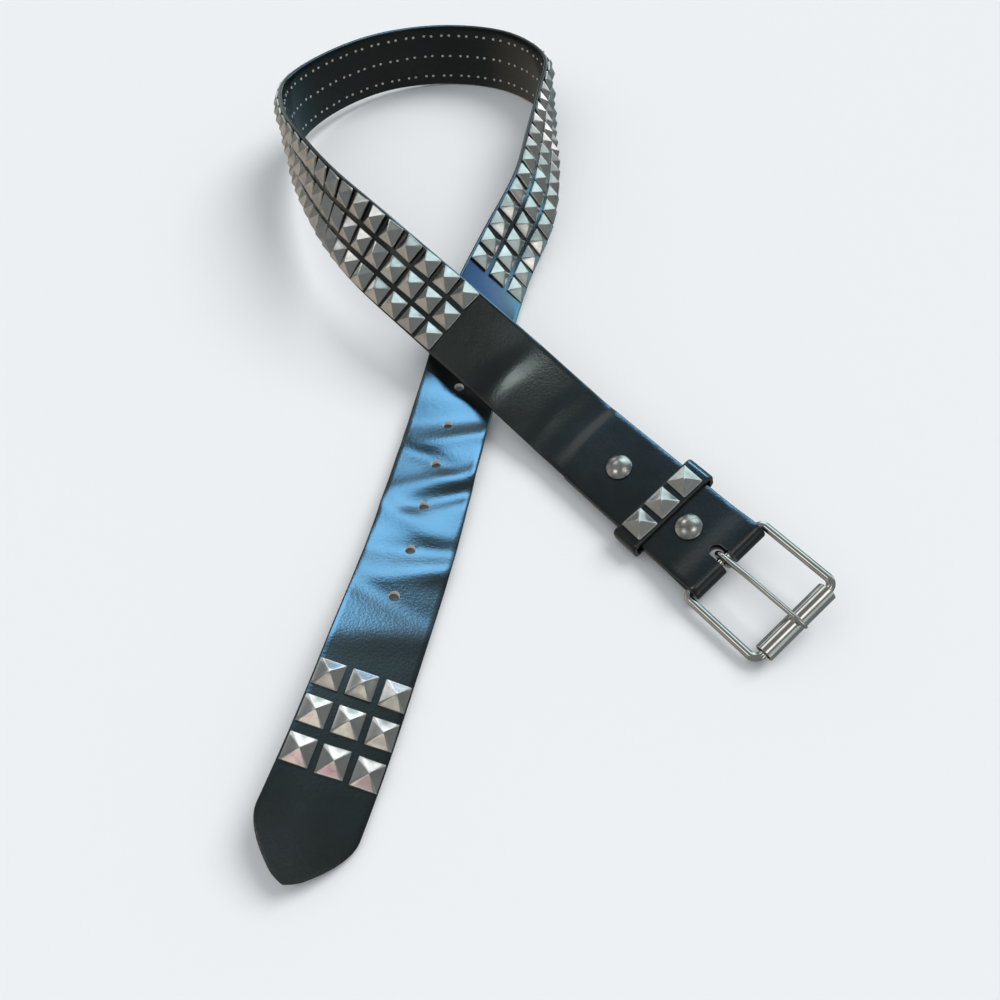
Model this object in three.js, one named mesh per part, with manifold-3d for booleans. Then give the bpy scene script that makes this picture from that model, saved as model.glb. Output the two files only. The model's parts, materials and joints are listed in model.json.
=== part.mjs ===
// A studded leather belt, lying in one loop whose two strands cross.
// Millimetres, +Z up. The floor is Z = 0, and the pointed tip is towards -Y.
import * as THREE from "three";
import { mergeVertices } from "three/addons/utils/BufferGeometryUtils.js";
import Module from "manifold-3d";

const wasm = await Module();
wasm.setup();

// Strap
const strapLength = 1130; // pointed tip to the buckle's rear bar, along the strap
const strapWidth = 38;
const leather = 2.5;
const seatGap = 0.35; // between the leather and a metal piece that sits on it
const layerGap = 0.3; // between two layers of leather, and round a bar or a post
const stationStep = 7.8; // spacing of the sections along the strap
const spansAcross = 4;
const halfWidth = strapWidth / 2;

// Pointed tail
const pointLength = 20;
const pointBluntness = 2.4; // half width of the tip's blunt end
const pointFullness = 1.75; // exponent of the outline: 1 is a triangle, 2 is a full arch
const pointSections = 8;
const pointCrowding = 1.3; // exponent that crowds the sections towards the tip

// Holes, counted from the one nearest the tip
const holeCount = 6;
const holeRadius = 2.3;
const holeSides = 16;
const firstHole = 110;
const holePitch = 23.1;

// Pyramid studs
const studSide = 10.5;
const studHeight = 4;
const studRim = 0.7;
const studTipShare = 0.03; // width of a stud's blunt tip, as a share of its side
const rowSpacing = 13;
const rowCount = 3;

// Studs near the tip
const tipStudStart = 41; // tip to the middle of the first crosswise row
const tipStudPitch = 14.7;
const tipStudRows = 3;

// Main stud field
const fieldStart = 296;
const fieldPitch = 12.7;
const fieldColumns = 52;
const webThickness = 0.5; // thin base that holds the field's studs together

// Buckle
const wireRadius = 1.75;
const frameSpan = 42.8; // arm to arm, between the wire's middles
const frameReach = 36; // rear bar to front bar, between the wire's middles
const rearCornerRadius = 2.6;
const frontCornerRadius = 3.6;
const wireSides = 10;
const rollerRadius = 3.9;
const rollerLength = 34.6;
const rollerClearance = 0.35;
const prongRadius = 1.2;
const prongPastRoller = 5; // how far the tip reaches past the front bar's middle
const prongSides = 10;
const prongTaper = 0.12; // how much thinner the finger gets towards its tip, as a share of its radius
const prongTipShare = 0.62; // radius of the blunt tip, as a share of the prong's

// Keeper
const keeperThickness = 1.8;
const keeperWidth = 12.6;
const keeperSideClearance = 2.2;
const keeperBehindBar = 33.3;
const keeperCornerRadius = 2.6;

// Snaps
const snapRadius = 5.8;
const snapHeight = 2.6;
const snapRimShare = 0.25; // height of the cap's straight rim, as a share of the cap's height
const snapPostRadius = 1.5;
const snapBackRadius = 3.6;
const snapBackThickness = 0.9;
const snapsBehindBar = [59.6, 18.8];
const boreSides = 14;
const turnedSides = 20; // sides of the snaps, the roller and the prong's eye

// Folded flap and the prong's slot
const flapLength = 76; // rear bar to the flap's end
const foldRun = 15; // how far behind the bar the two layers start to open round it
const slotWidth = 6.2;
const slotBehindBar = 6.8; // rear bar to the slot's rounded end
const slotSegments = 9; // odd, so that no corner falls on the strap's middle line

// Heights in the buckle end, from the floor up
const foldRadius = wireRadius + layerGap;
const barHeight = foldRadius + leather;
const flapUnderside = keeperThickness + layerGap;
const upperUnderside = flapUnderside + leather + layerGap;
const upperTop = upperUnderside + leather;

// The strap's middle line as it lies, from the tip to the straight buckle end. x and y are shares of
// strapLength. rise is the line's height as a share of strapWidth. lean is how far the outer face has turned
// from facing up to facing the right of someone who walks from the tip, in degrees.
const laidPath = [
  { x: -0.001, y: 0, rise: 0.2, lean: 18 },
  { x: 0.0135, y: 0.037, rise: 0.205, lean: 20 },
  { x: 0.026, y: 0.074, rise: 0.19, lean: 17 },
  { x: 0.038, y: 0.112, rise: 0.145, lean: 9 },
  { x: 0.0495, y: 0.153, rise: 0.15, lean: 3 },
  { x: 0.061, y: 0.192, rise: 0.2, lean: 8 },
  { x: 0.072, y: 0.226, rise: 0.34, lean: 33 },
  { x: 0.087, y: 0.264, rise: 0.42, lean: 50 },
  { x: 0.104, y: 0.299, rise: 0.58, lean: 57 },
  { x: 0.113, y: 0.337, rise: 0.6, lean: 64 },
  { x: 0.119, y: 0.377, rise: 0.55, lean: 79 },
  { x: 0.123, y: 0.416, rise: 0.515, lean: 90 },
  { x: 0.104, y: 0.447, rise: 0.51, lean: 95 },
  { x: 0.068, y: 0.463, rise: 0.515, lean: 94 },
  { x: 0.03, y: 0.456, rise: 0.595, lean: 90 },
  { x: -0.001, y: 0.433, rise: 0.67, lean: 90 },
  { x: -0.021, y: 0.4, rise: 0.75, lean: 93 },
  { x: -0.019, y: 0.361, rise: 0.87, lean: 89 },
  { x: -0.008, y: 0.323, rise: 0.99, lean: 76 },
  { x: 0.007, y: 0.286, rise: 1.08, lean: 62 },
  { x: 0.027, y: 0.252, rise: 1.06, lean: 42 },
  { x: 0.051, y: 0.223, rise: 0.84, lean: 28 },
  { x: 0.078, y: 0.191, rise: 0.58, lean: 25 },
];

// Where the rear bar lies, as shares of strapLength, where the buckle end points, in degrees from +X, and how
// far it leans, in degrees. It rests on the keeper's right side.
const barPlace = { x: 0.151, y: 0.092 };
const buckleHeading = -56;
const buckleLean = 17;

const up = new THREE.Vector3(0, 0, 1);
const heading = new THREE.Vector3(1, 0, 0).applyAxisAngle(up, THREE.MathUtils.degToRad(buckleHeading));
const leanAngle = THREE.MathUtils.degToRad(buckleLean);
const buckleLeft = new THREE.Vector3().crossVectors(up, heading).applyAxisAngle(heading, leanAngle);
const buckleUp = new THREE.Vector3().crossVectors(heading, buckleLeft);
const keeperInnerHalf = halfWidth + keeperSideClearance;
const keeperOuterHalf = keeperInnerHalf + keeperThickness;

// The buckle end's own frame: +X along the heading, +Y to its left, +Z away from its underside, and the origin
// on the underside below the middle of the rear bar
const buckleFoot = new THREE.Vector3(
  barPlace.x * strapLength, barPlace.y * strapLength, keeperOuterHalf * Math.sin(leanAngle));
const buckleMatrix = new THREE.Matrix4().makeBasis(heading, buckleLeft, buckleUp).setPosition(buckleFoot);

function buckleEndPoint(forward, left, height) {
  return new THREE.Vector3(forward, left, height).applyMatrix4(buckleMatrix);
}

// The straight rows that the laid path runs into, at one height: distances behind the bar
const straightRows = [flapLength + 12, flapLength + 4, (flapLength + foldRun) / 2, foldRun];
const straightHeight = upperUnderside + leather / 2;
const pathPoints = [
  ...laidPath.map((row) => new THREE.Vector3(row.x * strapLength, row.y * strapLength, row.rise * strapWidth)),
  ...straightRows.map((behindBar) => buckleEndPoint(-behindBar, 0, straightHeight)),
];
const pathLeans = [...laidPath.map((row) => row.lean), ...straightRows.map(() => buckleLean)];
const pathCurve = new THREE.CatmullRomCurve3(pathPoints, false, "centripetal");
pathCurve.arcLengthDivisions = 2000;
const leanCurve = new THREE.SplineCurve(pathLeans.map((lean, i) => new THREE.Vector2(i, lean)));
const pathLength = pathCurve.getLength();

// A station: a place on the leather's middle surface, with the directions along, to the left and outwards
function makeStation(place, along, left) {
  return { place, along, left, outward: new THREE.Vector3().crossVectors(along, left) };
}

function stationAt(distance) {
  const t = pathCurve.getUtoTmapping(0, distance);
  const along = pathCurve.getTangent(t).normalize();
  const right = new THREE.Vector3().crossVectors(along, up).normalize();
  const lean = THREE.MathUtils.degToRad(leanCurve.getPoint(t).y);
  const left = right.clone().negate().applyAxisAngle(along, lean);
  return makeStation(pathCurve.getPoint(t), along, left);
}

function stationPoint(station, left, outward) {
  return station.place.clone().addScaledVector(station.left, left).addScaledVector(station.outward, outward);
}

// Closed body through rings of points, each listed anticlockwise as seen from the far end. Each quad is cut
// along the diagonal that keeps ridge(ring, point) vertices sharp.
function loft(rings, { closed = false, ridge = null } = {}) {
  const ringSize = rings[0].length;
  const positions = rings.flat().flatMap((point) => point.toArray());
  const indices = [];
  const ringSteps = closed ? rings.length : rings.length - 1;
  for (let i = 0; i < ringSteps; i += 1) {
    const nextRing = (i + 1) % rings.length;
    for (let j = 0; j < ringSize; j += 1) {
      const nextPoint = (j + 1) % ringSize;
      const a = i * ringSize + j;
      const b = i * ringSize + nextPoint;
      const c = nextRing * ringSize + nextPoint;
      const d = nextRing * ringSize + j;
      const otherDiagonal = ridge !== null && (ridge(i, nextPoint) || ridge(nextRing, j));
      if (otherDiagonal) {
        indices.push(a, b, d, b, c, d);
      } else {
        indices.push(a, b, c, a, c, d);
      }
    }
  }
  if (!closed) {
    const last = (rings.length - 1) * ringSize;
    for (let j = 1; j < ringSize - 1; j += 1) {
      indices.push(0, j + 1, j);
      indices.push(last, last + j, last + j + 1);
    }
  }
  const geometry = new THREE.BufferGeometry();
  geometry.setAttribute("position", new THREE.Float32BufferAttribute(positions, 3));
  geometry.setIndex(indices);
  return geometry;
}

// Boolean cuts and joins
function toSolid(geometry) {
  const bare = geometry.clone();
  bare.deleteAttribute("normal");
  bare.deleteAttribute("uv");
  const merged = mergeVertices(bare, 1e-4);
  const vertProperties = new Float32Array(merged.attributes.position.array);
  const triVerts = new Uint32Array(merged.index.array);
  return new wasm.Manifold(new wasm.Mesh({ numProp: 3, vertProperties, triVerts }));
}

function toGeometry(solid) {
  const mesh = solid.getMesh();
  const geometry = new THREE.BufferGeometry();
  geometry.setAttribute("position", new THREE.Float32BufferAttribute(mesh.vertProperties, 3));
  geometry.setIndex(Array.from(mesh.triVerts));
  return geometry;
}

// Materials
const leatherBlack = new THREE.MeshStandardMaterial({ color: 0x1a1d20, roughness: 0.45, metalness: 0 });
const studMetal = new THREE.MeshStandardMaterial({ color: 0x9c9a94, roughness: 0.28, metalness: 1 });
const buckleNickel = new THREE.MeshStandardMaterial({ color: 0xb4b1aa, roughness: 0.22, metalness: 1 });
const snapMetal = new THREE.MeshStandardMaterial({ color: 0x8f8d88, roughness: 0.38, metalness: 1 });

const belt = new THREE.Group();

function addMesh(parent, name, geometry, material) {
  const mesh = new THREE.Mesh(geometry, material);
  mesh.name = name;
  parent.add(mesh);
  return mesh;
}

// Strap: the body through its sections
function tailHalfWidth(distance) {
  const share = Math.min(distance / pointLength, 1);
  return pointBluntness + (halfWidth - pointBluntness) * (1 - (1 - share) ** pointFullness);
}

function strapRing(station, half) {
  const ring = [];
  for (let i = 0; i <= spansAcross; i += 1) {
    ring.push(stationPoint(station, half * (1 - (2 * i) / spansAcross), leather / 2));
  }
  for (let i = 0; i <= spansAcross; i += 1) {
    ring.push(stationPoint(station, half * ((2 * i) / spansAcross - 1), -leather / 2));
  }
  return ring;
}

function strapRings() {
  const rings = [];
  for (let i = 0; i < pointSections; i += 1) {
    const distance = pointLength * (i / pointSections) ** pointCrowding;
    rings.push(strapRing(stationAt(distance), tailHalfWidth(distance)));
  }
  const sections = Math.ceil((pathLength - pointLength) / stationStep);
  for (let i = 0; i <= sections; i += 1) {
    rings.push(strapRing(stationAt(pointLength + ((pathLength - pointLength) * i) / sections), halfWidth));
  }
  for (const station of foldStations()) {
    rings.push(strapRing(station, halfWidth));
  }
  return rings;
}

// Fold round the rear bar, then the flap back under the strap. The layers close up behind the bar.
function foldStations() {
  const middleRadius = foldRadius + leather / 2;
  const flapMiddle = flapUnderside + leather / 2;
  const profile = [];
  const easeSteps = 4;
  const { lerp, smoothstep } = THREE.MathUtils;
  const easedHeight = (from, to, share) => lerp(from, to, smoothstep(share, 0, 1));
  for (let i = 1; i < easeSteps; i += 1) {
    const share = i / easeSteps;
    const height = easedHeight(straightHeight, barHeight + middleRadius, share);
    profile.push(new THREE.Vector2(-foldRun * (1 - share), height));
  }
  const arcSteps = 10;
  for (let i = 0; i <= arcSteps; i += 1) {
    const angle = Math.PI / 2 - (Math.PI * i) / arcSteps;
    const height = barHeight + middleRadius * Math.sin(angle);
    profile.push(new THREE.Vector2(middleRadius * Math.cos(angle), height));
  }
  for (let i = 1; i <= easeSteps; i += 1) {
    const share = i / easeSteps;
    const height = easedHeight(barHeight - middleRadius, flapMiddle, share);
    profile.push(new THREE.Vector2(-foldRun * share, height));
  }
  const flapSteps = 4;
  for (let i = 1; i <= flapSteps; i += 1) {
    profile.push(new THREE.Vector2(-THREE.MathUtils.lerp(foldRun, flapLength, i / flapSteps), flapMiddle));
  }
  return profile.map((point, i) => {
    const before = profile[Math.max(i - 1, 0)];
    const after = profile[Math.min(i + 1, profile.length - 1)];
    const slope = after.clone().sub(before).normalize();
    const along = heading.clone().multiplyScalar(slope.x).addScaledVector(buckleUp, slope.y);
    return makeStation(buckleEndPoint(point.x, 0, point.y), along, buckleLeft);
  });
}

// Round tool, standing along Z, turned by half a side so that no corner falls on the strap's middle line
function roundTool(radius, length, sides) {
  const tool = new THREE.CylinderGeometry(radius, radius, length, sides).rotateX(Math.PI / 2);
  return tool.rotateZ(Math.PI / sides);
}

function punch(station, radius) {
  const tool = roundTool(radius, leather * 4, holeSides);
  const turn = new THREE.Matrix4().makeBasis(station.along, station.left, station.outward);
  tool.applyMatrix4(turn.setPosition(station.place));
  return tool;
}

// Slot through both layers and the fold, rounded at its end behind the bar
function slotTool() {
  const outline = new THREE.Shape();
  const front = foldRadius + leather * 3;
  const endMiddle = -slotBehindBar + slotWidth / 2;
  outline.moveTo(front, -slotWidth / 2);
  outline.lineTo(front, slotWidth / 2);
  outline.lineTo(endMiddle, slotWidth / 2);
  outline.absarc(endMiddle, 0, slotWidth / 2, Math.PI / 2, (3 * Math.PI) / 2, false);
  const depth = barHeight * 4;
  const tool = new THREE.ExtrudeGeometry(outline, { depth, bevelEnabled: false, curveSegments: slotSegments });
  return tool.translate(0, 0, -barHeight).applyMatrix4(buckleMatrix);
}

function snapBore(behindBar) {
  const tool = roundTool(snapPostRadius + layerGap, upperTop * 3, boreSides);
  return tool.translate(-behindBar, 0, upperTop).applyMatrix4(buckleMatrix);
}

function buildStrap() {
  const tools = [slotTool(), ...snapsBehindBar.map((behindBar) => snapBore(behindBar))];
  for (let i = 0; i < holeCount; i += 1) {
    tools.push(punch(stationAt(firstHole + holePitch * i), holeRadius));
  }
  const cuts = wasm.Manifold.union(tools.map((tool) => toSolid(tool)));
  const solid = toSolid(loft(strapRings())).subtract(cuts);
  addMesh(belt, "strap", toGeometry(solid), leatherBlack);
}

// One pyramid stud with its middle at the origin of its base, on a low straight rim
function studGeometry() {
  const half = studSide / 2;
  const corners = [[half, -half], [half, half], [-half, half], [-half, -half]];
  const base = corners.map(([x, y]) => new THREE.Vector3(x, y, 0));
  const rim = corners.map(([x, y]) => new THREE.Vector3(x, y, studRim));
  const tip = corners.map(([x, y]) => new THREE.Vector3(x * studTipShare, y * studTipShare, studHeight));
  return loft([base, rim, tip]);
}

// Height of the leather's outer face above its middle surface, with the stud's gap
const studSeat = leather / 2 + seatGap;

function buildTipStuds() {
  for (let row = 0; row < tipStudRows; row += 1) {
    const station = stationAt(tipStudStart + tipStudPitch * row);
    for (let column = 0; column < rowCount; column += 1) {
      const left = (column - (rowCount - 1) / 2) * rowSpacing;
      const stud = addMesh(belt, `tail_stud_${row + 1}_${column + 1}`, studGeometry(), studMetal);
      const turn = new THREE.Matrix4().makeBasis(station.along, station.left, station.outward);
      stud.quaternion.setFromRotationMatrix(turn);
      stud.position.copy(stationPoint(station, left, studSeat));
    }
  }
}

// Main stud field: pyramids on one thin web that follows the strap
function buildStudField() {
  const rings = [];
  const peaks = new Set();
  const halfField = ((rowCount - 1) / 2) * rowSpacing + studSide / 2;
  const webTop = studSeat + webThickness;
  const peakHeight = studSeat + studHeight;
  const across = [];
  for (let row = rowCount - 1; row >= 0; row -= 1) {
    const middle = (row - (rowCount - 1) / 2) * rowSpacing;
    across.push({ left: middle + studSide / 2 });
    across.push({ left: middle, peak: true });
    across.push({ left: middle - studSide / 2 });
  }
  for (let column = 0; column < fieldColumns; column += 1) {
    for (const side of [-1, 0, 1]) {
      const station = stationAt(fieldStart + fieldPitch * (column + 0.5) + (side * studSide) / 2);
      const ring = [];
      for (let i = spansAcross; i >= 0; i -= 1) {
        ring.push(stationPoint(station, halfField * (1 - (2 * i) / spansAcross), studSeat));
      }
      for (const [j, point] of across.entries()) {
        const isPeak = side === 0 && point.peak === true;
        if (isPeak) {
          peaks.add(`${rings.length},${ring.length}`);
        }
        ring.push(stationPoint(station, point.left, isPeak ? peakHeight : webTop));
      }
      rings.push(ring);
    }
  }
  const ridge = (i, j) => peaks.has(`${i},${j}`);
  addMesh(belt, "stud_field", loft(rings, { ridge }), studMetal);
}

// Pieces of the buckle end, in its own frame
const buckleEnd = new THREE.Group();
buckleEnd.applyMatrix4(buckleMatrix);
belt.add(buckleEnd);

function roundedBox(low, high, radius) {
  const outline = new THREE.Path();
  outline.moveTo(low.x + radius, low.y);
  outline.lineTo(high.x - radius, low.y);
  outline.absarc(high.x - radius, low.y + radius, radius, -Math.PI / 2, 0, false);
  outline.lineTo(high.x, high.y - radius);
  outline.absarc(high.x - radius, high.y - radius, radius, 0, Math.PI / 2, false);
  outline.lineTo(low.x + radius, high.y);
  outline.absarc(low.x + radius, high.y - radius, radius, Math.PI / 2, Math.PI, false);
  outline.lineTo(low.x, low.y + radius);
  outline.absarc(low.x + radius, low.y + radius, radius, Math.PI, (3 * Math.PI) / 2, false);
  return outline;
}

// Keeper: a leather loop round both layers, drawn across the strap and pushed along it
const keeperTop = upperTop + layerGap + keeperThickness;

function buildKeeper() {
  const low = new THREE.Vector2(-keeperOuterHalf, 0);
  const high = new THREE.Vector2(keeperOuterHalf, keeperTop);
  const outline = new THREE.Shape(roundedBox(low, high, keeperCornerRadius).getPoints(2));
  const innerLow = low.clone().addScalar(keeperThickness);
  const innerHigh = high.clone().subScalar(keeperThickness);
  const innerRadius = keeperCornerRadius - keeperThickness;
  outline.holes.push(new THREE.Path(roundedBox(innerLow, innerHigh, innerRadius).getPoints(2)));
  const geometry = new THREE.ExtrudeGeometry(outline, { depth: keeperWidth, bevelEnabled: false });
  const keeper = addMesh(buckleEnd, "keeper", geometry, leatherBlack);
  keeper.quaternion.setFromRotationMatrix(new THREE.Matrix4().makeBasis(
    new THREE.Vector3(0, 1, 0), new THREE.Vector3(0, 0, 1), new THREE.Vector3(1, 0, 0)));
  keeper.position.x = -keeperBehindBar - keeperWidth / 2;
}

function buildKeeperStuds() {
  for (let column = 0; column < rowCount; column += 1) {
    const stud = addMesh(buckleEnd, `keeper_stud_${column + 1}`, studGeometry(), studMetal);
    stud.position.set(-keeperBehindBar, (column - (rowCount - 1) / 2) * rowSpacing, keeperTop + seatGap);
  }
}

// Snap: a domed cap, its post through both layers, and the back that the post is spread into
function buildSnaps() {
  const capUnderside = upperTop + seatGap;
  const backTop = flapUnderside - layerGap;
  const domeSteps = 5;
  const profile = [
    new THREE.Vector2(0, backTop - snapBackThickness),
    new THREE.Vector2(snapBackRadius, backTop - snapBackThickness),
    new THREE.Vector2(snapBackRadius, backTop),
    new THREE.Vector2(snapPostRadius, backTop),
    new THREE.Vector2(snapPostRadius, capUnderside),
    new THREE.Vector2(snapRadius, capUnderside),
  ];
  for (let i = 1; i <= domeSteps; i += 1) {
    const angle = (Math.PI / 2) * (i / domeSteps);
    const rise = snapHeight * THREE.MathUtils.lerp(snapRimShare, 1, Math.sin(angle));
    profile.push(new THREE.Vector2(snapRadius * Math.cos(angle), capUnderside + rise));
  }
  profile[profile.length - 1].x = 0;
  for (const [i, behindBar] of snapsBehindBar.entries()) {
    const snap = addMesh(buckleEnd, `snap_${i + 1}`, new THREE.LatheGeometry(profile, turnedSides), snapMetal);
    snap.rotation.x = Math.PI / 2;
    snap.position.x = -behindBar;
  }
}

// Frame: a round wire bent to a rounded box. It tips down from the rear bar until the roller is level with the
// underside.
const frameTilt = Math.asin((barHeight - rollerRadius) / frameReach);
const frameGroup = new THREE.Group();
frameGroup.position.z = barHeight;
frameGroup.rotation.y = frameTilt;
buckleEnd.add(frameGroup);

function wireRing(middle, along, sideways, radius, sides) {
  const left = new THREE.Vector3().crossVectors(sideways, along).normalize();
  const ring = [];
  for (let i = 0; i < sides; i += 1) {
    const angle = (2 * Math.PI * i) / sides;
    const point = middle.clone().addScaledVector(left, radius * Math.cos(angle));
    ring.push(point.addScaledVector(sideways, radius * Math.sin(angle)));
  }
  return ring;
}

function cornerPoints(middleX, middleY, radius, startAngle) {
  const points = [];
  const cornerSteps = 5;
  for (let i = 0; i <= cornerSteps; i += 1) {
    const angle = startAngle + (Math.PI / 2) * (i / cornerSteps);
    points.push(new THREE.Vector3(middleX + radius * Math.cos(angle), middleY + radius * Math.sin(angle), 0));
  }
  return points;
}

function buildFrame() {
  const side = frameSpan / 2;
  const front = frameReach - frontCornerRadius;
  const points = [
    ...cornerPoints(front, side - frontCornerRadius, frontCornerRadius, 0),
    ...cornerPoints(rearCornerRadius, side - rearCornerRadius, rearCornerRadius, Math.PI / 2),
    ...cornerPoints(rearCornerRadius, rearCornerRadius - side, rearCornerRadius, Math.PI),
    ...cornerPoints(front, frontCornerRadius - side, frontCornerRadius, (3 * Math.PI) / 2),
  ];
  const rings = points.map((point, i) => {
    const before = points[(i + points.length - 1) % points.length];
    const after = points[(i + 1) % points.length];
    const along = after.clone().sub(before).normalize();
    return wireRing(point, along, up, wireRadius, wireSides);
  });
  addMesh(frameGroup, "buckle_frame", loft(rings, { closed: true }), buckleNickel);
}

function buildRoller() {
  const bore = wireRadius + rollerClearance;
  const profile = [[bore, -1], [rollerRadius, -1], [rollerRadius, 1], [bore, 1], [bore, -1]].map(
    ([radius, end]) => new THREE.Vector2(radius, (end * rollerLength) / 2));
  const geometry = new THREE.LatheGeometry(profile, turnedSides);
  const roller = addMesh(frameGroup, "buckle_roller", geometry, buckleNickel);
  roller.position.x = frameReach;
}

// Prong: an eye round the rear bar, and a round tapered finger that lies on the roller
function buildProng() {
  const eyeRadius = wireRadius + layerGap + prongRadius;
  const eye = new THREE.TorusGeometry(eyeRadius, prongRadius, prongSides, turnedSides);
  eye.rotateX(Math.PI / 2);
  const restHeight = rollerRadius + layerGap + prongRadius;
  // The finger's middle line: how far towards the roller, as a share of frameReach, and how far up from the
  // eye's top to the height at which it rests on the roller, as a share
  const rises = [
    { reach: 0, rise: 0 },
    { reach: 0.35, rise: 0.75 },
    { reach: 0.75, rise: 1 },
    { reach: 1, rise: 1 },
  ];
  const tipDrop = prongRadius * 0.7;
  const route = new THREE.CatmullRomCurve3([
    ...rises.map(({ reach, rise }) => new THREE.Vector3(
      frameReach * reach, 0, THREE.MathUtils.lerp(eyeRadius, restHeight, rise))),
    new THREE.Vector3(frameReach + prongPastRoller, 0, restHeight - tipDrop),
  ]);
  const steps = 16;
  const sideways = new THREE.Vector3(0, 1, 0);
  const rings = [];
  for (let i = 0; i <= steps; i += 1) {
    const share = i / steps;
    const radius = prongRadius * (i === steps ? prongTipShare : 1 - prongTaper * share);
    rings.push(wireRing(route.getPointAt(share), route.getTangentAt(share), sideways, radius, prongSides));
  }
  const solid = toSolid(eye).add(toSolid(loft(rings)));
  addMesh(frameGroup, "buckle_prong", toGeometry(solid), buckleNickel);
}

buildStrap();
buildTipStuds();
buildStudField();
buildKeeper();
buildKeeperStuds();
buildSnaps();
buildFrame();
buildRoller();
buildProng();

// The origin is on the floor under the middle of the whole belt
belt.updateMatrixWorld(true);
const wholeBox = new THREE.Box3().setFromObject(belt, true);
const middle = wholeBox.getCenter(new THREE.Vector3());
belt.position.set(-middle.x, -middle.y, -wholeBox.min.z);

export default belt;
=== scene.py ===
# The looks of the studded belt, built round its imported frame. Lengths are in millimetres until a mesh
# is made.
import json
import math

import bmesh
import bpy
import numpy as np
from mathutils import Matrix, Vector


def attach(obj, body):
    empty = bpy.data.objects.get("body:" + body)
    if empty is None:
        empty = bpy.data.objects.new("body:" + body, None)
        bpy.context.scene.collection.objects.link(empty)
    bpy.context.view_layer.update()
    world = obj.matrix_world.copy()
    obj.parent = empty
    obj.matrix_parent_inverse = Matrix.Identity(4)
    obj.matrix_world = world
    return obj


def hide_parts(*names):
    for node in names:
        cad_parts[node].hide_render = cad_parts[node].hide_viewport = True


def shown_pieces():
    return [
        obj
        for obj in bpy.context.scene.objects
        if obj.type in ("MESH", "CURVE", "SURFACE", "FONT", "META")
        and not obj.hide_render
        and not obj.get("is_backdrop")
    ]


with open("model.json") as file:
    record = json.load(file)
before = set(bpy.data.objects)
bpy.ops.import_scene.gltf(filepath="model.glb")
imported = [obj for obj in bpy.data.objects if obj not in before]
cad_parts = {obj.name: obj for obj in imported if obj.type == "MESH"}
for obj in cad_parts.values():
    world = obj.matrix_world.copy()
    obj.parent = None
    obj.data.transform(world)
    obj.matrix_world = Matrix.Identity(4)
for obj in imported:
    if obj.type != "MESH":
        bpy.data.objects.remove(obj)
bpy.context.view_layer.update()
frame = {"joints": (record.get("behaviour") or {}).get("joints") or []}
MM = 0.001
UP = np.array([0.0, 0.0, 1.0])

# Camera, at the photograph's angle: it looks along +Y, dives below the horizon and is rolled a little
CAMERA_PLACE = (-0.0054, -0.3173, 0.2869)
CAMERA_DIVE = math.radians(54.588)
CAMERA_ROLL = math.radians(5.678)
SENSOR = 36
FOCAL_PIXELS = 785.8
IMAGE_PIXELS = 1000

camera_data = bpy.data.cameras.new("camera")
camera_data.sensor_width = SENSOR
camera_data.lens = SENSOR * FOCAL_PIXELS / IMAGE_PIXELS
camera = bpy.data.objects.new("camera", camera_data)
bpy.context.scene.collection.objects.link(camera)
camera_turn = Matrix.Rotation(math.pi / 2 - CAMERA_DIVE, 4, "X") @ Matrix.Rotation(-CAMERA_ROLL, 4, "Z")
camera.matrix_world = Matrix.Translation(CAMERA_PLACE) @ camera_turn
bpy.context.scene.camera = camera
bpy.context.scene.view_settings.view_transform = "Standard"

# Sizes, the same as the CAD's
STRAP_LENGTH = 1130
STRAP_WIDTH = 38
HALF = STRAP_WIDTH / 2
LEATHER = 2.5
SEAT_GAP = 0.35
LAYER_GAP = 0.3
POINT_LENGTH = 20
POINT_BLUNTNESS = 2.4
POINT_FULLNESS = 1.75
HOLE_COUNT, HOLE_RADIUS, FIRST_HOLE, HOLE_PITCH = 6, 2.3, 110, 23.1
STUD_SIDE, ROW_SPACING, ROWS = 10.5, 13, 3
TIP_STUD_START, TIP_STUD_PITCH, TIP_STUD_ROWS = 41, 14.7, 3
FIELD_START, FIELD_PITCH, FIELD_COLUMNS = 296, 12.7, 52
WIRE_RADIUS = 1.75
FRAME_SPAN, FRAME_REACH = 42.8, 36
REAR_CORNER, FRONT_CORNER = 2.6, 3.6
ROLLER_RADIUS, ROLLER_LENGTH = 3.9, 34.6
PRONG_RADIUS, PRONG_PAST_ROLLER = 1.2, 5
KEEPER_THICKNESS, KEEPER_WIDTH, KEEPER_SIDE = 1.8, 12.6, 2.2
KEEPER_BEHIND, KEEPER_CORNER = 33.3, 2.6
SNAP_RADIUS, SNAP_HEIGHT, SNAP_POST, SNAP_BACK, SNAP_BACK_THICK = 5.8, 2.6, 1.5, 3.6, 0.9
SNAPS_BEHIND = (59.6, 18.8)
FLAP_LENGTH, FOLD_RUN = 76, 15
SLOT_WIDTH, SLOT_BEHIND = 6.2, 6.8

FOLD_RADIUS = WIRE_RADIUS + LAYER_GAP
BAR_HEIGHT = FOLD_RADIUS + LEATHER
FLAP_UNDERSIDE = KEEPER_THICKNESS + LAYER_GAP
UPPER_UNDERSIDE = FLAP_UNDERSIDE + LEATHER + LAYER_GAP
UPPER_TOP = UPPER_UNDERSIDE + LEATHER
STRAIGHT_HEIGHT = UPPER_UNDERSIDE + LEATHER / 2
KEEPER_TOP = UPPER_TOP + LAYER_GAP + KEEPER_THICKNESS
KEEPER_HALF = HALF + KEEPER_SIDE + KEEPER_THICKNESS

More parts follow.
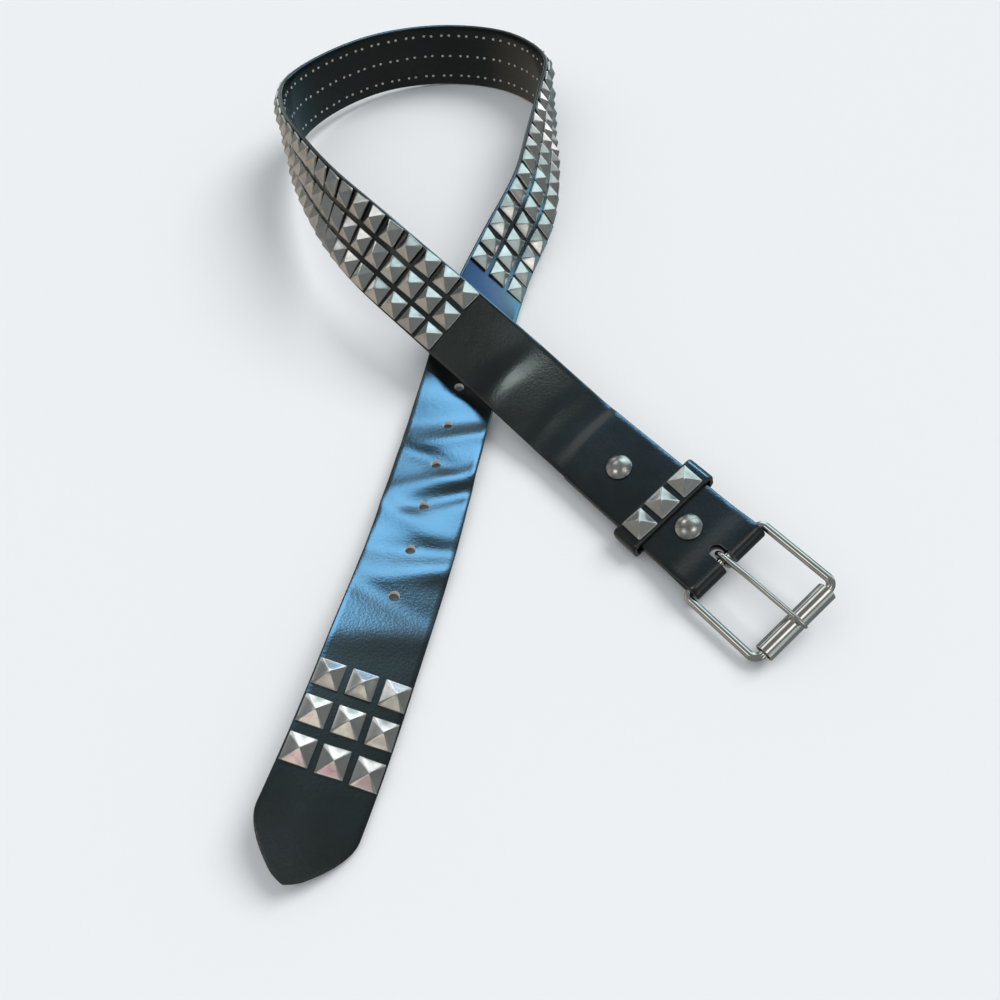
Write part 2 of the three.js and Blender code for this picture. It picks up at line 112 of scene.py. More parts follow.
# The strap's middle line: x and y as shares of STRAP_LENGTH, rise as a share of STRAP_WIDTH, and lean
# in degrees
LAID_PATH = (
    (-0.001, 0, 0.2, 18), (0.0135, 0.037, 0.205, 20), (0.026, 0.074, 0.19, 17),
    (0.038, 0.112, 0.145, 9), (0.0495, 0.153, 0.15, 3), (0.061, 0.192, 0.2, 8),
    (0.072, 0.226, 0.34, 33), (0.087, 0.264, 0.42, 50), (0.104, 0.299, 0.58, 57),
    (0.113, 0.337, 0.6, 64), (0.119, 0.377, 0.55, 79), (0.123, 0.416, 0.515, 90),
    (0.104, 0.447, 0.51, 95), (0.068, 0.463, 0.515, 94), (0.03, 0.456, 0.595, 90),
    (-0.001, 0.433, 0.67, 90), (-0.021, 0.4, 0.75, 93), (-0.019, 0.361, 0.87, 89),
    (-0.008, 0.323, 0.99, 76), (0.007, 0.286, 1.08, 62), (0.027, 0.252, 1.06, 42),
    (0.051, 0.223, 0.84, 28), (0.078, 0.191, 0.58, 25))
BAR_PLACE = (0.151, 0.092)
BUCKLE_HEADING = math.radians(-56)
BUCKLE_LEAN = math.radians(17)


def turned(vector, axis, angle):
    """vector turned round a unit axis that may be one of many."""
    cross = np.cross(axis, vector)
    along = np.sum(axis * vector, axis=-1, keepdims=True)
    cos, sin = np.cos(angle), np.sin(angle)
    return vector * cos + cross * sin + axis * along * (1 - cos)


def unit(v):
    return v / np.linalg.norm(v, axis=-1, keepdims=True)


HEADING = np.array([math.cos(BUCKLE_HEADING), math.sin(BUCKLE_HEADING), 0.0])
BUCKLE_LEFT = turned(np.cross(UP, HEADING), HEADING, BUCKLE_LEAN)
BUCKLE_UP = np.cross(HEADING, BUCKLE_LEFT)
bar_x, bar_y = (share * STRAP_LENGTH for share in BAR_PLACE)
bar_foot = np.array([bar_x, bar_y, KEEPER_HALF * math.sin(BUCKLE_LEAN)])
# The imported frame's origin is under the middle of the whole belt, and the bar's joint says how far that is
bar_joint = next(j for j in frame["joints"] if j["name"] == "frame_hinge")
SHIFT = np.array(bar_joint["pos_m"]) / MM - (bar_foot + BUCKLE_UP * BAR_HEIGHT)
BUCKLE_FOOT = bar_foot + SHIFT


def buckle_points(points):
    """Points given as forward, left and height in the buckle end's own frame."""
    points = np.asarray(points, float)
    return BUCKLE_FOOT + points @ np.array([HEADING, BUCKLE_LEFT, BUCKLE_UP])


# The strap's path, as the CAD has it: a centripetal spline through the laid path and the straight rows
# How far past the flap's end the strap is already straight: two rows, in mm
STRAIGHT_LEADS = (12, 4)
straight_rows = [FLAP_LENGTH + lead for lead in STRAIGHT_LEADS]
straight_rows += [(FLAP_LENGTH + FOLD_RUN) / 2, FOLD_RUN]
knots = [np.array([x * STRAP_LENGTH, y * STRAP_LENGTH, rise * STRAP_WIDTH]) + SHIFT
         for x, y, rise, _ in LAID_PATH]
knots += [buckle_points([-behind, 0, STRAIGHT_HEIGHT]) for behind in straight_rows]
knots = np.array(knots)
leans = np.array([row[3] for row in LAID_PATH] + [math.degrees(BUCKLE_LEAN)] * len(straight_rows), float)


def spline(t):
    """Places and leans at the shares t of the knots' count."""
    last = len(knots) - 1
    p = np.clip(t, 0, 1) * last
    i = np.minimum(np.floor(p).astype(int), last - 1)
    w = (p - i)[:, None]
    ends = np.vstack([2 * knots[0] - knots[1], knots, 2 * knots[-1] - knots[-2]])
    x0, x1, x2, x3 = (ends[i + k] for k in range(4))
    d0, d1, d2 = (np.linalg.norm(b - a, axis=1, keepdims=True) ** 0.5
                  for a, b in ((x0, x1), (x1, x2), (x2, x3)))
    t1 = ((x1 - x0) / d0 - (x2 - x0) / (d0 + d1) + (x2 - x1) / d1) * d1
    t2 = ((x2 - x1) / d1 - (x3 - x1) / (d1 + d2) + (x3 - x2) / d2) * d1
    places = x1 + t1 * w + (-3 * x1 + 3 * x2 - 2 * t1 - t2) * w**2 + (2 * x1 - 2 * x2 + t1 + t2) * w**3
    held = np.concatenate([leans[:1], leans, leans[-1:]])
    l0, l1, l2, l3 = (held[i + k] for k in range(4))
    v0, v1, w = (l2 - l0) / 2, (l3 - l1) / 2, w[:, 0]
    turns = l1 + v0 * w + (-3 * l1 + 3 * l2 - 2 * v0 - v1) * w**2 + (2 * l1 - 2 * l2 + v0 + v1) * w**3
    return places, turns


DENSE_SAMPLES = 8001
dense_places, dense_leans = spline(np.linspace(0, 1, DENSE_SAMPLES))
dense_lengths = np.concatenate([[0], np.cumsum(np.linalg.norm(np.diff(dense_places, axis=0), axis=1))])
PATH_LENGTH = dense_lengths[-1]
dense_along = unit(np.gradient(dense_places, axis=0))


def stations(distances):
    """Place, along, left and outward at distances from the tip."""
    def at(values):
        return np.stack([np.interp(distances, dense_lengths, column) for column in values.T], axis=1)
    along = unit(at(dense_along))
    right = unit(np.cross(along, UP))
    lean = np.radians(np.interp(distances, dense_lengths, dense_leans))[:, None]
    left = turned(-right, along, lean)
    return at(dense_places), along, left, np.cross(along, left)


# Sections on the way into the bend, round it, and along the flap
EASE_STEPS, BEND_STEPS, FLAP_STEPS = 12, 28, 31


def fold_stations():
    """The fold round the rear bar and the flap, as places, lefts, outwards and distances travelled."""
    radius = FOLD_RADIUS + LEATHER / 2
    flap = FLAP_UNDERSIDE + LEATHER / 2
    ease = np.linspace(0, 1, EASE_STEPS + 1)[1:]
    smooth = ease * ease * (3 - 2 * ease)
    angles = np.pi / 2 - np.linspace(0, np.pi, BEND_STEPS + 1)[1:]
    runs = np.linspace(FOLD_RUN, FLAP_LENGTH, FLAP_STEPS + 1)[1:]
    forward = np.concatenate([-FOLD_RUN * (1 - ease), radius * np.cos(angles), -FOLD_RUN * ease, -runs])
    top, bottom = BAR_HEIGHT + radius, BAR_HEIGHT - radius
    height = np.concatenate([
        STRAIGHT_HEIGHT + (top - STRAIGHT_HEIGHT) * smooth, BAR_HEIGHT + radius * np.sin(angles),
        bottom + (flap - bottom) * smooth, np.full(len(runs), flap)])
    slope = unit(np.stack([np.gradient(forward), np.gradient(height)], axis=1))
    along = slope[:, :1] * HEADING + slope[:, 1:] * BUCKLE_UP
    left = np.tile(BUCKLE_LEFT, (len(forward), 1))
    places = buckle_points(np.stack([forward, np.zeros(len(forward)), height], axis=1))
    start = buckle_points([[-FOLD_RUN, 0, STRAIGHT_HEIGHT]])
    steps = np.linalg.norm(np.diff(np.vstack([start, places]), axis=0), axis=1)
    return places, left, np.cross(along, left), PATH_LENGTH + np.cumsum(steps)


# Meshes
def loft(rings, closed=False):
    """Vertices and quads through rings of equally many points, with flat ends unless the rings close."""
    count, size = len(rings), len(rings[0])
    vertices = np.concatenate(rings)
    faces = []
    for i in range(count if closed else count - 1):
        near, far = i * size, (i + 1) % count * size
        faces += [(near + j, near + (j + 1) % size, far + (j + 1) % size, far + j) for j in range(size)]
    if not closed:
        faces.append(tuple(reversed(range(size))))
        faces.append(tuple((count - 1) * size + j for j in range(size)))
    return vertices, faces


def lathe_rings(profile, sides):
    """The rings of a body turned about Z, from a list of (radius, height)."""
    angles = np.linspace(0, 2 * np.pi, sides, endpoint=False)
    circle = np.stack([np.cos(angles), np.sin(angles), np.zeros(sides)], axis=1)
    return [circle * radius + UP * height for radius, height in profile]


def merge(parts):
    """Several (vertices, faces) as one."""
    vertices, faces, start = [], [], 0
    for v, f in parts:
        vertices.append(v)
        faces += [tuple(start + k for k in face) for face in f]
        start += len(v)
    return np.concatenate(vertices), faces


SHARP_ANGLE = math.radians(42)


def make_piece(name, vertices, faces, material, body, slot, nodes=()):
    mesh = bpy.data.meshes.new(name)
    mesh.from_pydata((np.asarray(vertices) * MM).tolist(), [], faces)
    mesh.validate()
    work = bmesh.new()
    work.from_mesh(mesh)
    bmesh.ops.recalc_face_normals(work, faces=work.faces)
    work.to_mesh(mesh)
    work.free()
    mesh.polygons.foreach_set("use_smooth", [True] * len(mesh.polygons))
    mesh.set_sharp_from_angle(angle=SHARP_ANGLE)
    mesh.materials.append(material)
    piece = bpy.data.objects.new(name, mesh)
    bpy.context.scene.collection.objects.link(piece)
    if body:
        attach(piece, body)
        if nodes:
            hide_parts(*nodes)
    return piece


# Materials
def new_material(name):
    material = bpy.data.materials.new(name)
    material.use_nodes = True
    tree = material.node_tree
    return material, tree, tree.nodes["Principled BSDF"]


def add_noise(tree, scale, detail=4.0, rough=0.6, stretch=(1, 1, 1)):
    coordinates = tree.nodes.new("ShaderNodeTexCoord")
    mapping = tree.nodes.new("ShaderNodeMapping")
    mapping.inputs["Scale"].default_value = stretch
    noise = tree.nodes.new("ShaderNodeTexNoise")
    noise.inputs["Scale"].default_value = scale
    noise.inputs["Detail"].default_value = detail
    noise.inputs["Roughness"].default_value = rough
    tree.links.new(coordinates.outputs["Object"], mapping.inputs["Vector"])
    tree.links.new(mapping.outputs["Vector"], noise.inputs["Vector"])
    return noise.outputs["Fac"]


def add_ramp(tree, factor, stops):
    ramp = tree.nodes.new("ShaderNodeValToRGB")
    elements = ramp.color_ramp.elements
    while len(elements) < len(stops):
        elements.new(0.5)
    for element, (place, colour) in zip(elements, stops):
        element.position = place
        element.color = (*colour, 1)
    tree.links.new(factor, ramp.inputs["Fac"])
    return ramp.outputs["Color"]


def add_range(tree, factor, low, high, start=0.3, stop=0.7):
    node = tree.nodes.new("ShaderNodeMapRange")
    node.inputs["From Min"].default_value = start
    node.inputs["From Max"].default_value = stop
    node.inputs["To Min"].default_value = low
    node.inputs["To Max"].default_value = high
    tree.links.new(factor, node.inputs["Value"])
    return node.outputs["Result"]


def add_bump(tree, factor, depth_mm, strength, before=None):
    bump = tree.nodes.new("ShaderNodeBump")
    bump.inputs["Distance"].default_value = depth_mm * MM
    bump.inputs["Strength"].default_value = strength
    tree.links.new(factor, bump.inputs["Height"])
    if before is not None:
        tree.links.new(before, bump.inputs["Normal"])
    return bump.outputs["Normal"]


def leather_material():
    material, tree, shader = new_material("black_coated_leather")
    patches = add_noise(tree, scale=28)
    grain = add_noise(tree, scale=1500, detail=3)
    pores = tree.nodes.new("ShaderNodeTexVoronoi")
    pores.inputs["Scale"].default_value = 900
    coordinates = tree.nodes.new("ShaderNodeTexCoord")
    tree.links.new(coordinates.outputs["Object"], pores.inputs["Vector"])
    colour = add_ramp(tree, patches, ((0.3, (0.0035, 0.006, 0.0052)), (0.7, (0.008, 0.0115, 0.010))))
    tree.links.new(colour, shader.inputs["Base Color"])
    tree.links.new(add_range(tree, patches, 0.2, 0.29), shader.inputs["Roughness"])
    normal = add_bump(tree, pores.outputs["Distance"], depth_mm=0.12, strength=0.28)
    normal = add_bump(tree, grain, depth_mm=0.06, strength=0.3, before=normal)
    dents = add_noise(tree, scale=70, detail=2)
    normal = add_bump(tree, dents, depth_mm=0.5, strength=0.14, before=normal)
    tree.links.new(normal, shader.inputs["Normal"])
    shader.inputs["Specular IOR Level"].default_value = 0.5
    shader.inputs["Coat Weight"].default_value = 0.3
    shader.inputs["Coat Roughness"].default_value = 0.16
    return material


def metal_material(name, dark, light, rough, mottle, scratch):
    """Plated metal: tone and roughness vary with a noise of mottle per metre, with fine scratches. rough is
    the roughness of its light and its dark patches."""
    material, tree, shader = new_material(name)
    patches = add_noise(tree, scale=mottle)
    colour = add_ramp(tree, patches, ((0.3, dark), (0.68, light)))
    tree.links.new(colour, shader.inputs["Base Color"])
    tree.links.new(add_range(tree, patches, rough[1], rough[0]), shader.inputs["Roughness"])
    lines = add_noise(tree, scale=900, detail=2, stretch=(1, 0.08, 0.08))
    lines_across = add_noise(tree, scale=800, detail=2, stretch=(0.07, 1, 0.1))
    normal = add_bump(tree, lines, depth_mm=0.03, strength=scratch)
    normal = add_bump(tree, lines_across, depth_mm=0.03, strength=scratch, before=normal)
    tree.links.new(normal, shader.inputs["Normal"])
    shader.inputs["Metallic"].default_value = 1.0
    return material


leather = leather_material()
# The holes' walls: a pale colour that is painted light, standing in for the lit floor seen through the
# holes, and not the leather's own core
painted_light_hole_wall, hole_wall_tree, hole_wall_shader = new_material("painted_light_hole_wall")
hole_wall_mottle = add_noise(hole_wall_tree, scale=900)
painted_hole_light_colour = add_ramp(hole_wall_tree, hole_wall_mottle, ((0.3, (0.78, 0.77, 0.76)), (0.7, (0.9, 0.89, 0.88))))
hole_wall_tree.links.new(painted_hole_light_colour, hole_wall_shader.inputs["Base Color"])
hole_wall_shader.inputs["Roughness"].default_value = 0.8
stud_metal = metal_material("pewter_plate", (0.6, 0.59, 0.57), (0.8, 0.79, 0.77), (0.14, 0.26), 120, 0.16)
snap_metal = metal_material("antique_silver", (0.36, 0.34, 0.32), (0.85, 0.83, 0.8), (0.18, 0.32), 420, 0.4)
nickel = metal_material("nickel_plate", (0.66, 0.64, 0.61), (0.8, 0.78, 0.75), (0.1, 0.2), 90, 0.12)
prong_tip_metal = metal_material("bare_steel", (0.6, 0.6, 0.58), (0.88, 0.88, 0.87), (0.3, 0.45), 500, 0.2)
prong_tip_metal.node_tree.nodes["Principled BSDF"].inputs["Metallic"].default_value = 0.55

# Strap
EDGE_RADIUS = 0.7
EDGE_STEPS = 3
STRAP_STEP = 2.0
TOP_SPANS, UNDER_SPANS = 20, 10
# Soft ridges across the leather: distance behind the bar, half width along the strap, height, all in mm
CREASES = ((79, 3.6, 0.6), (99, 4.0, 0.5), (131, 5.5, 0.7))
# A ridge wanders this far along the strap, over this width, and fades out at this share of the half width
CREASE_WANDER, CREASE_WANDER_WIDTH, CREASE_FADE = 1.1, 7, 1.1
# Waves of the glossy tail: distance from the tip, half width, height, and how much it slants and leans to
# a side
WAVES = ((92, 7, 0.5, 0.3, 0.2), (107, 6, -0.4, -0.3, -0.5), (121, 6, 0.55, 0.35, 0.6),
         (133, 5, -0.45, 0.2, 0.3), (146, 6, 0.5, -0.4, -0.6), (158, 5, -0.6, 0.5, 0.7),
         (169, 5, 0.5, 0.45, 0.5), (181, 5, -0.5, -0.3, -0.4), (193, 5, 0.45, 0.4, 0.5),
         (205, 6, -0.35, 0.3, 0), (219, 6, 0.3, 0.2, 0))
# The nose is cut at this share of its bluntness, so that the strap begins with a small face and not a point
NOSE_CUT = 0.02
# Sections near the tip, in mm from it, closer where the outline turns fastest
TIP_DISTANCES = (0, 0.12, 0.35, 0.7, 1.2, 1.8, 2.4, 3.2, 4.2, 5.4, 6.8, 8.4, 10, 12, 14, 16, 18)


def tail_half(distance):
    """Half the strap's width at a distance from the tip."""
    share = np.clip(distance / POINT_LENGTH, 0, 1)
    half = POINT_BLUNTNESS + (HALF - POINT_BLUNTNESS) * (1 - (1 - share) ** POINT_FULLNESS)
    nose = np.clip(distance / POINT_BLUNTNESS, NOSE_CUT, 1)
    return half * np.sqrt(1 - (1 - nose) ** 2)


def section(half, thickness, edge, top_spans, bottom_spans):
    """A flat oblong with rounded edges, as (left, outward) points, anticlockwise seen from the far end."""
    edge = min(edge, half / 2)
    rim = half - edge
    v = thickness / 2
    corner = np.linspace(0, np.pi / 2, EDGE_STEPS + 1)[1:-1]
    top = [(u, v) for u in np.linspace(rim, -rim, top_spans + 1)]
    right_top = [(-rim - edge * math.sin(a), v - edge + edge * math.cos(a)) for a in corner]
    side = [(-half, v - edge), (-half, edge - v)]
    right_bottom = [(-rim - edge * math.cos(a), edge - v - edge * math.sin(a)) for a in corner]
    bottom = [(u, -v) for u in np.linspace(-rim, rim, bottom_spans + 1)]
    left_bottom = [(rim + edge * math.sin(a), edge - v - edge * math.cos(a)) for a in corner]
    other = [(half, edge - v), (half, v - edge)]
    left_top = [(rim + edge * math.cos(a), v - edge + edge * math.sin(a)) for a in corner]
    return np.array(top + right_top + side + right_bottom + bottom + left_bottom + other + left_top)


def crease_relief(distance, u):
    """How far the outer face stands out of its plain shape."""
    behind = PATH_LENGTH + FOLD_RUN - distance
    height = np.zeros(len(u))
    for place, width, rise in CREASES:
        bend = CREASE_WANDER * np.sin(u / CREASE_WANDER_WIDTH + place)
        fade = np.clip(CREASE_FADE - np.abs(u) / HALF, 0, 1) ** 0.5
        height += rise * fade * np.exp(-(((behind - place + bend) / width) ** 2))
    return height


def wave_relief(distance, u):
    """How far the whole tail lies off its smooth path."""
    height = np.zeros(len(u))
    for place, width, rise, slant, side in WAVES:
        weight = 1 - side * u / HALF
        height += rise * weight * np.exp(-(((distance - place + slant * u) / width) ** 2))
    return height


body_distances = np.linspace(POINT_LENGTH, PATH_LENGTH, int((PATH_LENGTH - POINT_LENGTH) / STRAP_STEP))
distances = np.concatenate([TIP_DISTANCES, body_distances])
places, _, lefts, outs = stations(distances)
fold_places, fold_lefts, fold_outs, fold_distances = fold_stations()
rings = []
for place, left, out, distance in zip(
        np.vstack([places, fold_places]), np.vstack([lefts, fold_lefts]), np.vstack([outs, fold_outs]),
        np.concatenate([distances, fold_distances])):
    uv = section(float(tail_half(distance)), LEATHER, EDGE_RADIUS, TOP_SPANS, UNDER_SPANS)
    swell = wave_relief(distance, uv[:, 0])
    swell += crease_relief(distance, uv[:, 0]) * (uv[:, 1] > 0)
    rings.append(place + uv[:, :1] * left + (uv[:, 1] + swell)[:, None] * out)
strap = make_piece("strap_leather", *loft(rings), leather, "belt", "leather_black", ["strap"])


def cylinder(radius, length, sides):
    angles = np.linspace(0, 2 * np.pi, sides, endpoint=False)
    circle = np.stack([radius * np.cos(angles), radius * np.sin(angles), np.zeros(sides)], axis=1)
    return loft([circle - UP * length / 2, circle + UP * length / 2])


# The strap's cutters: the punched holes, the snaps' bores and the prong's slot. Each reaches well past both
# faces.
HOLE_SIDES, BORE_SIDES, SLOT_STEPS = 40, 32, 24
HOLE_CUT = LEATHER * 4
BORE_CUT = UPPER_TOP * 3
SLOT_FRONT = FOLD_RADIUS + LEATHER * 3
SLOT_LOW, SLOT_HIGH = -BAR_HEIGHT, BAR_HEIGHT * 3
cutters = []
hole_places, hole_alongs, hole_lefts, hole_outs = stations(FIRST_HOLE + HOLE_PITCH * np.arange(HOLE_COUNT))
for place, along, left, out in zip(hole_places, hole_alongs, hole_lefts, hole_outs):
    points, faces = cylinder(HOLE_RADIUS, HOLE_CUT, HOLE_SIDES)
    cutters.append((place + points @ np.array([along, left, out]), faces))
for behind in SNAPS_BEHIND:
    points, faces = cylinder(SNAP_POST + LAYER_GAP, BORE_CUT, BORE_SIDES)
    cutters.append((buckle_points(points + np.array([-behind, 0, UPPER_TOP])), faces))
slot_end = -SLOT_BEHIND + SLOT_WIDTH / 2
slot_angles = np.linspace(np.pi / 2, 3 * np.pi / 2, SLOT_STEPS + 1)
outline = [(SLOT_FRONT, -SLOT_WIDTH / 2), (SLOT_FRONT, SLOT_WIDTH / 2)]
outline += [(slot_end + SLOT_WIDTH / 2 * math.cos(a), SLOT_WIDTH / 2 * math.sin(a)) for a in slot_angles]
outline = np.array(outline)
slot_rings = [np.column_stack([outline, np.full(len(outline), height)]) for height in (SLOT_LOW, SLOT_HIGH)]
cutters.append(loft([buckle_points(ring) for ring in slot_rings]))
cutter = make_piece("cutter", *merge(cutters), leather, None, None)
# Only the punched holes, which come first in the cutter, get the pale hole wall: painted light, standing in
# for the lit floor seen through the holes
cutter.data.materials.append(painted_light_hole_wall)
hole_vertices = HOLE_COUNT * 2 * HOLE_SIDES
for polygon in cutter.data.polygons:
    polygon.material_index = int(polygon.vertices[0] < hole_vertices)
strap.data.materials.append(painted_light_hole_wall)
cut = strap.modifiers.new("cut", "BOOLEAN")
cut.operation, cut.solver, cut.object = "DIFFERENCE", "MANIFOLD", cutter
cut.material_mode = "TRANSFER"
evaluated = strap.evaluated_get(bpy.context.evaluated_depsgraph_get())
cut_mesh = bpy.data.meshes.new_from_object(evaluated)
strap.modifiers.remove(cut)
strap.data = cut_mesh
strap.data.set_sharp_from_angle(angle=SHARP_ANGLE)
bpy.data.objects.remove(cutter)

# Studs: stamped pyramids with a straight rim and soft ridges. A ring of a stud: how wide, as a share of its
# side, and how high, in mm, up from its seat.
STUD_RINGS = ((1.0, -0.3), (1.0, 0.5), (0.985, 0.68), (0.955, 0.76), (0.9, 0.93), (0.62, 1.93), (0.3, 3.08),
              (0.12, 3.68), (0.05, 3.88), (0.015, 3.95))
# The points along one side of a ring, as shares of its half side, and how far its blunt corner reaches
SIDE_SHARES = (-0.955, -0.7, 0, 0.7, 0.955)
CORNER_SHARE = 0.985
# A stud's prong, clenched flat against the leather: rings as a share of its half sizes and a height in mm
CLENCH_RINGS = ((1, 0), (0.95, 0.28), (0.6, 0.42), (0.1, 0.46))
CLENCH_HALF_LENGTH, CLENCH_HALF_WIDTH, CLENCH_SIDES = 1.0, 0.75, 10
# Where it is: distance from the stud's middle, how far it sinks in, and how far it strays, in mm
CLENCH_OFFSET, CLENCH_SUNK, CLENCH_STRAY = 2.6, 0.1, 0.12


def stud_body():
    """A stud with its seat at height 0 and its middle on the axis."""
    ring = []
    for quarter in range(4):
        cos, sin = round(math.cos(quarter * math.pi / 2)), round(math.sin(quarter * math.pi / 2))
        ring += [(cos - share * sin, sin + share * cos) for share in SIDE_SHARES]
        ring.append((CORNER_SHARE * (cos - sin), CORNER_SHARE * (sin + cos)))
    ring = np.array(ring) * STUD_SIDE / 2
    return loft([np.column_stack([ring * width, np.full(len(ring), height)])
                 for width, height in STUD_RINGS])


STUD = stud_body()
rng = np.random.default_rng(7)
TILT = math.radians(1.3)


def seat_stud(place, along, left, out, seat):
    """One stud on its seat, a little out of true as pressed studs are."""
    points, faces = STUD
    lean_a, lean_b, spin = rng.normal(0, TILT, 3)
    out = unit(out + lean_a * along + lean_b * left)
    along = unit(along + spin * left - out * np.dot(along, out))
    left = np.cross(out, along)
    return place + out * seat + points @ np.array([along, left, out]), faces


def stud_rows(distances):
    """Studs and the turned-in tips of their prongs at the middles of crosswise rows."""
    studs, tips = [], []
    for place, along, left, out in zip(*stations(np.asarray(distances, float))):
        for row in range(ROWS):
            middle = place + left * (row - (ROWS - 1) / 2) * ROW_SPACING
            studs.append(seat_stud(middle, along, left, out, LEATHER / 2 + SEAT_GAP))
            for side in (-1, 1):
                tips.append(prong_tip(middle + along * side * CLENCH_OFFSET, along * side, left, -out))
    return studs, tips


def prong_tip(place, along, left, out):
    """The end of a stud's prong, bent flat against the leather."""
    angles = np.linspace(0, 2 * np.pi, CLENCH_SIDES, endpoint=False)
    shift = rng.normal(0, CLENCH_STRAY, 2)
    base = place + along * shift[0] + left * shift[1] + out * (LEATHER / 2 - CLENCH_SUNK)
    rings = []
    for width, height in CLENCH_RINGS:
        x = CLENCH_HALF_LENGTH * width * np.cos(angles)
        y = CLENCH_HALF_WIDTH * width * np.sin(angles)
        rings.append(base + x[:, None] * along + y[:, None] * left + out * height)
    return loft(rings)


field_studs, field_tips = stud_rows(FIELD_START + FIELD_PITCH * (np.arange(FIELD_COLUMNS) + 0.5))
tail_studs, tail_tips = stud_rows(TIP_STUD_START + TIP_STUD_PITCH * np.arange(TIP_STUD_ROWS))
tail_nodes = [f"tail_stud_{i}_{j}" for i in range(1, TIP_STUD_ROWS + 1) for j in range(1, ROWS + 1)]
make_piece("field_studs", *merge(field_studs), stud_metal, "belt", "stud_metal", ["stud_field"])
make_piece("tail_studs", *merge(tail_studs), stud_metal, "belt", "stud_metal", tail_nodes)
make_piece("prong_tips", *merge(field_tips + tail_tips), prong_tip_metal, "belt", "stud_metal")
keeper_studs = []
for row in range(ROWS):
    foot = buckle_points([-KEEPER_BEHIND, (row - (ROWS - 1) / 2) * ROW_SPACING, KEEPER_TOP])
    keeper_studs.append(seat_stud(foot, HEADING, BUCKLE_LEFT, BUCKLE_UP, SEAT_GAP))
keeper_nodes = [f"keeper_stud_{j}" for j in range(1, ROWS + 1)]
make_piece("keeper_studs", *merge(keeper_studs), stud_metal, "belt", "stud_metal", keeper_nodes)


# Keeper: a leather band round both layers
KEEPER_EDGE, KEEPER_SPANS = 0.5, 8
CORNER_POINTS, SIDE_RUN_SPANS = 9, 12


def rounded_box_path(half, low, high, radius, spans):
    """Points and outward normals of a rounded box in the plane of left and height, anticlockwise."""
    points, normals = [], []
    corners = ((half - radius, low + radius, -90), (half - radius, high - radius, 0),
               (radius - half, high - radius, 90), (radius - half, low + radius, 180))
    for k, (x, z, start) in enumerate(corners):
        for a in np.radians(start + np.linspace(0, 90, CORNER_POINTS)):
            points.append((x + radius * math.cos(a), z + radius * math.sin(a)))
            normals.append((math.cos(a), math.sin(a)))
        next_x, next_z, _ = corners[(k + 1) % len(corners)]
        end = np.radians(start + 90)
        here = np.array(points[-1])
        there = np.array([next_x + radius * math.cos(end), next_z + radius * math.sin(end)])
        for share in np.arange(1, spans) / spans:
            points.append(tuple(here * (1 - share) + there * share))
            normals.append((math.cos(end), math.sin(end)))
    return np.array(points), np.array(normals)


middle_radius = KEEPER_CORNER - KEEPER_THICKNESS / 2
band_half = KEEPER_HALF - KEEPER_THICKNESS / 2
band_points, band_normals = rounded_box_path(
    band_half, KEEPER_THICKNESS / 2, KEEPER_TOP - KEEPER_THICKNESS / 2, middle_radius, SIDE_RUN_SPANS)
rings = []
for (y, z), (ny, nz) in zip(band_points, band_normals):
    uv = section(KEEPER_WIDTH / 2, KEEPER_THICKNESS, KEEPER_EDGE, KEEPER_SPANS, KEEPER_SPANS)
    local = np.column_stack([uv[:, 0] - KEEPER_BEHIND, y + uv[:, 1] * ny, z + uv[:, 1] * nz])
    rings.append(buckle_points(local))
make_piece("keeper_leather", *loft(rings, closed=True), leather, "belt", "leather_black", ["keeper"])

# Snaps: a domed cap with a rolled rim, its post and its back
CAP_UNDERSIDE = UPPER_TOP + SEAT_GAP
BACK_TOP = FLAP_UNDERSIDE - LAYER_GAP
SNAP_SIDES = 56
# The back's flat face and its straight rim, as shares of its radius and its thickness
BACK_FACE, BACK_RIM = 0.8, 0.6
# The snap's middle is open by this radius, in mm, which its flat end faces close
SNAP_MIDDLE = 0.001
# Cap profile from its rim to its middle: radius as a share of the cap's, height as a share of its height
CAP_PROFILE = ((0.94, -0.08), (0.985, -0.03), (1.0, 0.08), (0.985, 0.2), (0.94, 0.31), (0.86, 0.43),
               (0.75, 0.58), (0.62, 0.73), (0.47, 0.86), (0.32, 0.945), (0.16, 0.99), (0.001, 1.0))
for number, behind in enumerate(SNAPS_BEHIND, 1):
    back_bottom = BACK_TOP - SNAP_BACK_THICK
    profile = [(SNAP_MIDDLE, back_bottom), (SNAP_BACK * BACK_FACE, back_bottom),
               (SNAP_BACK, BACK_TOP - SNAP_BACK_THICK * BACK_RIM), (SNAP_BACK, BACK_TOP),
               (SNAP_POST, BACK_TOP), (SNAP_POST, CAP_UNDERSIDE)]
    profile += [(SNAP_RADIUS * r, CAP_UNDERSIDE + SNAP_HEIGHT * z) for r, z in CAP_PROFILE]
    cap, faces = loft(lathe_rings(profile, SNAP_SIDES))
    cap = buckle_points(cap + np.array([-behind, 0, 0]))
    make_piece(f"snap_button_{number}", cap, faces, snap_metal, "belt", "snap_metal", [f"snap_{number}"])

# Buckle, in the frame's own directions: it tips down from the rear bar
FRAME_TILT = math.asin((BAR_HEIGHT - ROLLER_RADIUS) / FRAME_REACH)
WIRE_SIDES, ARC_POINTS = 32, 13
LEVEL = 1e-6


def frame_points(points):
    """Points given from the rear bar's middle: towards the roller, to the left, and up from the frame."""
    x, y, z = np.asarray(points, float).T
    cos, sin = math.cos(FRAME_TILT), math.sin(FRAME_TILT)
    return buckle_points(np.column_stack([x * cos + z * sin, y, BAR_HEIGHT - x * sin + z * cos]))


